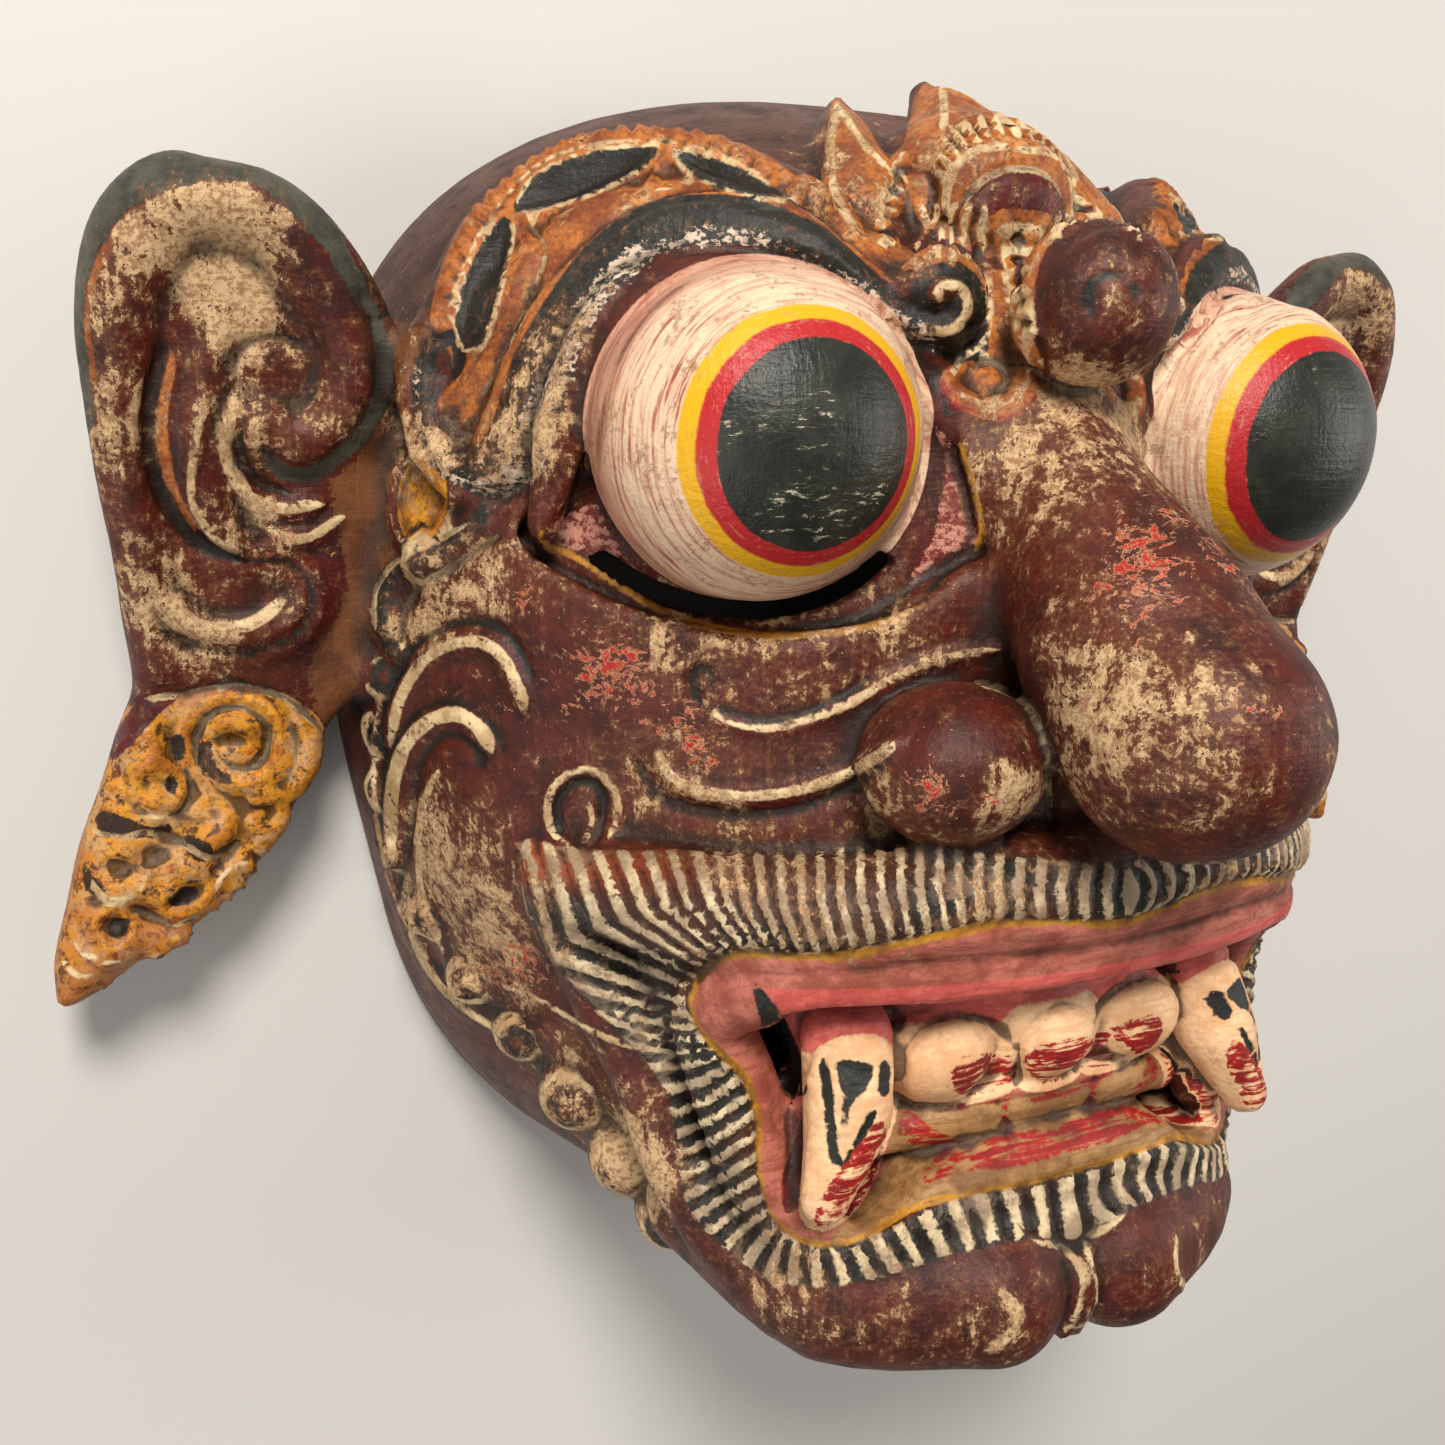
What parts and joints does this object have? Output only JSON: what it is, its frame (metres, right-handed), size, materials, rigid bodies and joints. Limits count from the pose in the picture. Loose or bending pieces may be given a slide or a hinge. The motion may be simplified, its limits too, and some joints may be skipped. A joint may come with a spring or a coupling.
{
  "type": "rakshasa mask",
  "caption": "Carved and painted wooden demon dance mask with bulging eyes, fangs, curled brows and foliate ear pendants, hollow behind for a wearer's face",
  "frame": {"origin": "middle of the outline in X and Y, on the plane of the back rim", "axes": "+X from the mask's right ear to its left ear, +Y towards the crown, +Z out of the face; the mask lies on its back rim"},
  "size_m": [0.3204, 0.2436, 0.1577],
  "materials": {
    "painted_wood": "worn painted"
  },
  "bodies": {
    "root": {"mask": "painted_wood"}
  },
  "joints": []
}
